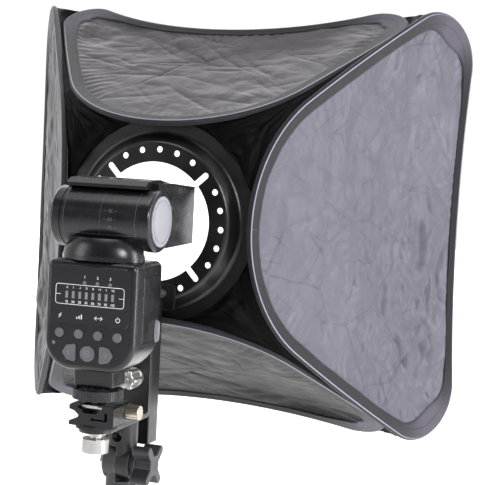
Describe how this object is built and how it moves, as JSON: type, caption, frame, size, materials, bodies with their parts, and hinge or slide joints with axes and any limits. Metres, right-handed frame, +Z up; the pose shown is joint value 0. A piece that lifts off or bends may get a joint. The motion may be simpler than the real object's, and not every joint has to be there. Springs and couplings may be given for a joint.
{
  "type": "flash softbox with tilt bracket",
  "caption": "Small square folding softbox on a stamped perforated ring, held by a slotted channel bar and L bracket with a shoe flash on a tilt head.",
  "frame": {"origin": "centre of the mouth of the stand socket under the tilt head", "axes": "+Z up, +Y the way the light points, +X to the right seen from behind the flash"},
  "size_m": [0.417, 0.3204, 0.4254],
  "materials": {
    "cast_black": "fine-textured black coating",
    "cast_grey": "worn dark grey coating",
    "star_plastic": "moulded black, worn grey on the wings",
    "knob_black": "moulded black",
    "bright_steel": "bright turned steel",
    "nickel_brass": "dulled plated brass",
    "bracket_paint": "black paint, worn light along the edges",
    "channel_paint": "glossy black paint",
    "ring_paint": "satin black paint",
    "knob_silver": "pale turned metal",
    "spring_steel": "sprung steel wire",
    "binding_cloth": "ribbed woven tape",
    "panel_cloth": "thin coated nylon with a soft sheen",
    "gusset_cloth": "black nylon",
    "diffuser_cloth": "white translucent nylon",
    "border_cloth": "white woven tape",
    "body_plastic": "fine-grained dark grey",
    "panel_gloss": "glossy dark control panel",
    "button_plastic": "grey rubbery buttons",
    "led_plastic": "small clear lamps",
    "wheel_plastic": "grey with a knurled rim",
    "shoe_steel": "bright plate and contact pins",
    "latch_plastic": "grey moulded latch",
    "cap_plastic": "grey discs with a fine groove",
    "axle_steel": "plain steel",
    "lens_clear": "ribbed clear lens",
    "wide_clear": "thin clear panel",
    "reflector_metal": "polished reflector",
    "tube_glass": "clear flash tube",
    "board_green": "circuit board",
    "cell_wrap": "battery sleeve"
  },
  "bodies": {
    "socket": {"tilt_socket": "cast_grey", "tilt_bolt": "bright_steel"},
    "tilt_handle": {"star_knob": "star_plastic"},
    "spigot_screw": {"spigot_lock": "knob_black"},
    "arm": {"tilt_clevis": "cast_black", "mount_stud": "bright_steel", "l_bracket": "bracket_paint", "clamp_screw": "bright_steel"},
    "umbrella_screw": {"umbrella_lock": "bright_steel"},
    "clamp_handle": {"clamp_knob": "knob_silver"},
    "shoe_screw": {"thumb_screw": "bright_steel"},
    "softbox": {"channel_bar": "channel_paint", "ring_fasteners": "bright_steel", "speed_ring": "ring_paint", "ring_sleeve": "gusset_cloth", "clamp_ring": "ring_paint", "clamp_studs": "bright_steel", "hoop_wires": "spring_steel", "corner_gussets": "gusset_cloth", "diffuser": "diffuser_cloth", "diffuser_border": "border_cloth", "binding_bottom": "binding_cloth", "binding_left": "binding_cloth", "binding_right": "binding_cloth", "binding_top": "binding_cloth", "panel_bottom": "panel_cloth", "panel_left": "panel_cloth", "panel_right": "panel_cloth", "panel_top": "panel_cloth"},
    "flash": {"grip_disc": "knob_black", "shoe_adapter": "body_plastic", "shoe_plate": "shoe_steel", "flash_foot": "body_plastic", "rear_shell": "body_plastic", "front_shell": "body_plastic", "control_panel": "panel_gloss", "indicator_leds": "led_plastic", "batteries": "cell_wrap", "circuit_board": "board_green"},
    "adapter_screw": {"side_screw": "nickel_brass"},
    "foot_wheel": {"lock_wheel": "wheel_plastic"},
    "door": {"battery_door": "body_plastic"},
    "latch": {"door_latch": "latch_plastic"},
    "collar": {"swivel_collar": "body_plastic", "neck_drum": "body_plastic", "tilt_axle": "axle_steel"},
    "head": {"head_upper": "body_plastic", "head_lower": "body_plastic", "hinge_caps": "cap_plastic", "fresnel_lens": "lens_clear", "reflector": "reflector_metal", "flash_tube": "tube_glass"},
    "wide": {"wide_panel": "wide_clear"},
    "key_left": {"button_left": "button_plastic"},
    "key_mode": {"button_mode": "button_plastic"},
    "key_pilot": {"button_pilot": "button_plastic"},
    "key_power": {"button_power": "button_plastic"},
    "key_right": {"button_right": "button_plastic"},
    "key_set": {"button_set": "button_plastic"},
    "key_zoom": {"button_zoom": "button_plastic"}
  },
  "joints": [
    {"name": "tilt", "type": "hinge", "parent": "socket", "child": "arm", "pos_m": [0, 0, 0.058], "axis": [1, 0, 0], "range_deg": [-60, 60]},
    {"name": "star_knob_turn", "type": "hinge", "parent": "socket", "child": "tilt_handle", "pos_m": [0.02, 0, 0.058], "axis": [1, 0, 0], "continuous": true},
    {"name": "spigot_lock_turn", "type": "hinge", "parent": "socket", "child": "spigot_screw", "pos_m": [-0.02, 0, 0.018], "axis": [1, 0, 0], "continuous": true},
    {"name": "umbrella_lock_turn", "type": "hinge", "parent": "arm", "child": "umbrella_screw", "pos_m": [-0.014, 0, 0.079], "axis": [1, 0, 0], "continuous": true},
    {"name": "clamp_knob_turn", "type": "hinge", "parent": "arm", "child": "clamp_handle", "pos_m": [0, 0.006, 0.1205], "axis": [0, 1, 0], "continuous": true},
    {"name": "thumb_screw_turn", "type": "hinge", "parent": "arm", "child": "shoe_screw", "pos_m": [0, -0.048, 0.08], "axis": [0, 0, 1], "continuous": true},
    {"name": "ring_height", "type": "slide", "parent": "arm", "child": "softbox", "axis": [0, 0, 1], "range_m": [-0.005, 0.03]},
    {"name": "shoe_turn", "type": "hinge", "parent": "arm", "child": "flash", "pos_m": [0, -0.048, 0.096], "axis": [0, 0, 1], "range_deg": [-175, 175]},
    {"name": "adapter_screw_turn", "type": "hinge", "parent": "flash", "child": "adapter_screw", "pos_m": [0.024, -0.037, 0.105], "axis": [1, 0, 0], "continuous": true},
    {"name": "foot_wheel_turn", "type": "hinge", "parent": "flash", "child": "foot_wheel", "pos_m": [0, -0.048, 0.118], "axis": [0, 0, 1], "continuous": true},
    {"name": "battery_door_swing", "type": "hinge", "parent": "flash", "child": "door", "pos_m": [0.034, -0.0527, 0.182], "axis": [0, 0, -1], "range_deg": [0, 100]},
    {"name": "door_latch_slide", "type": "slide", "parent": "door", "child": "latch", "axis": [0, 0, -1], "range_m": [0, 0.002], "stiffness_N_per_m": 150},
    {"name": "head_swivel", "type": "hinge", "parent": "flash", "child": "collar", "pos_m": [0, -0.048, 0.2158], "axis": [0, 0, 1], "range_deg": [-90, 180]},
    {"name": "head_tilt", "type": "hinge", "parent": "collar", "child": "head", "pos_m": [0, -0.038, 0.245], "axis": [1, 0, 0], "range_deg": [0, 90]},
    {"name": "wide_panel_slide", "type": "slide", "parent": "head", "child": "wide", "axis": [0, 1, 0], "range_m": [0, 0.034]},
    {"name": "button_left_press", "type": "slide", "parent": "flash", "child": "key_left", "axis": [0, 1, 0], "range_m": [0, 0.0008], "stiffness_N_per_m": 400},
    {"name": "button_mode_press", "type": "slide", "parent": "flash", "child": "key_mode", "axis": [0, 1, 0], "range_m": [0, 0.0008], "stiffness_N_per_m": 400},
    {"name": "button_pilot_press", "type": "slide", "parent": "flash", "child": "key_pilot", "axis": [0, 1, 0], "range_m": [0, 0.0008], "stiffness_N_per_m": 400},
    {"name": "button_power_press", "type": "slide", "parent": "flash", "child": "key_power", "axis": [0, 1, 0], "range_m": [0, 0.0008], "stiffness_N_per_m": 400},
    {"name": "button_right_press", "type": "slide", "parent": "flash", "child": "key_right", "axis": [0, 1, 0], "range_m": [0, 0.0008], "stiffness_N_per_m": 400},
    {"name": "button_set_press", "type": "slide", "parent": "flash", "child": "key_set", "axis": [0, 1, 0], "range_m": [0, 0.0008], "stiffness_N_per_m": 400},
    {"name": "button_zoom_press", "type": "slide", "parent": "flash", "child": "key_zoom", "axis": [0, 1, 0], "range_m": [0, 0.0008], "stiffness_N_per_m": 400}
  ]
}
